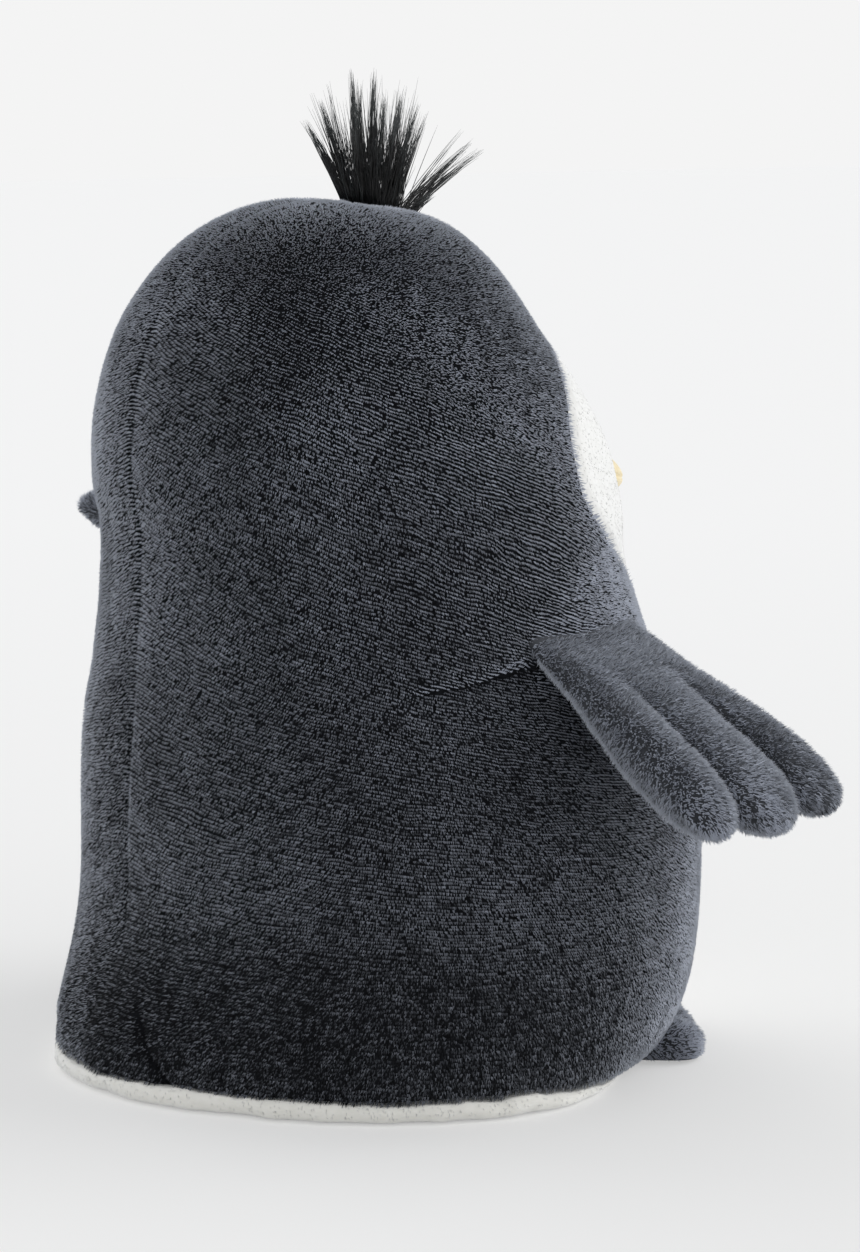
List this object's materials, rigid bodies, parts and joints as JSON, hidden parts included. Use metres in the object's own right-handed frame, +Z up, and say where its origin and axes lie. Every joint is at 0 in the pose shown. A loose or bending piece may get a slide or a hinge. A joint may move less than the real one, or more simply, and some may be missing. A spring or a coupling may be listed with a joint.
{
  "type": "plush penguin",
  "caption": "Sitting stuffed penguin toy of dark short-pile plush with a cream face and base, fingered flippers that bend, small feet, a felt beak and a hair tuft.",
  "frame": {"origin": "middle of the flat base, on the surface that the toy sits on", "axes": "+Z up through the crown, -Y out of the face, +X to the toy's own left"},
  "size_m": [0.2681, 0.1499, 0.2275],
  "materials": {
    "charcoal_plush": "short-pile plush, matt with a pale sheen at grazing angles",
    "cream_plush": "short-pile plush, matt",
    "yellow_felt": "pressed felt, matt",
    "black_hair": "fine glossy fibres",
    "stuffing_fibre": "loose polyester fibre",
    "pouch_cloth": "plain woven cloth",
    "dark_thread": "spun polyester thread",
    "cream_thread": "spun polyester thread",
    "eye_plastic": "polished",
    "washer_plastic": "as moulded"
  },
  "bodies": {
    "body": {"back_panel_left": "charcoal_plush", "back_panel_right": "charcoal_plush", "face_panel": "cream_plush", "belly_panel": "cream_plush", "base_panel": "cream_plush", "eye_left": "eye_plastic", "eye_right": "eye_plastic", "eye_washer_left": "washer_plastic", "eye_washer_right": "washer_plastic", "beak_upper": "yellow_felt", "beak_lower": "yellow_felt", "beak_stuffing": "stuffing_fibre", "body_stuffing": "stuffing_fibre", "pellet_pouch": "pouch_cloth", "back_seam_thread": "dark_thread", "brow_seam_thread": "dark_thread", "throat_seam_thread": "dark_thread", "face_seam_thread": "cream_thread", "belly_seam_thread": "cream_thread", "base_seam_thread": "cream_thread"},
    "flipper_left": {"flipper_left_upper": "charcoal_plush", "flipper_left_lower": "charcoal_plush", "flipper_left_stuffing": "stuffing_fibre"},
    "flipper_right": {"flipper_right_upper": "charcoal_plush", "flipper_right_lower": "charcoal_plush", "flipper_right_stuffing": "stuffing_fibre"},
    "foot_left": {"foot_left_upper": "charcoal_plush", "foot_left_sole": "charcoal_plush", "foot_left_stuffing": "stuffing_fibre"},
    "foot_right": {"foot_right_upper": "charcoal_plush", "foot_right_sole": "charcoal_plush", "foot_right_stuffing": "stuffing_fibre"},
    "tuft": {"hair_tuft": "black_hair"}
  },
  "joints": [
    {"name": "flipper_left_bend", "type": "hinge", "parent": "body", "child": "flipper_left", "pos_m": [0.07226, -0.0234, 0.1], "axis": [-0.327, -0.945, 0], "range_deg": [-72, 46], "stiffness_Nm_per_rad": 0.03},
    {"name": "flipper_right_bend", "type": "hinge", "parent": "body", "child": "flipper_right", "pos_m": [-0.07226, -0.0234, 0.1], "axis": [-0.327, 0.945, 0], "range_deg": [-24.5, 93.5], "stiffness_Nm_per_rad": 0.03},
    {"name": "foot_left_bend", "type": "hinge", "parent": "body", "child": "foot_left", "pos_m": [0.03409, -0.05522, 0.0003], "axis": [-0.8687, -0.4953, 0], "range_deg": [-30, 0], "stiffness_Nm_per_rad": 0.02},
    {"name": "foot_right_bend", "type": "hinge", "parent": "body", "child": "foot_right", "pos_m": [-0.03409, -0.05522, 0.0003], "axis": [-0.8687, 0.4953, 0], "range_deg": [-30, 0], "stiffness_Nm_per_rad": 0.02},
    {"name": "tuft_lean", "type": "hinge", "parent": "body", "child": "tuft", "pos_m": [0, -0.009, 0.19505], "axis": [0, 0.9302, 0.367], "range_deg": [-18, 18], "stiffness_Nm_per_rad": 0.005}
  ]
}
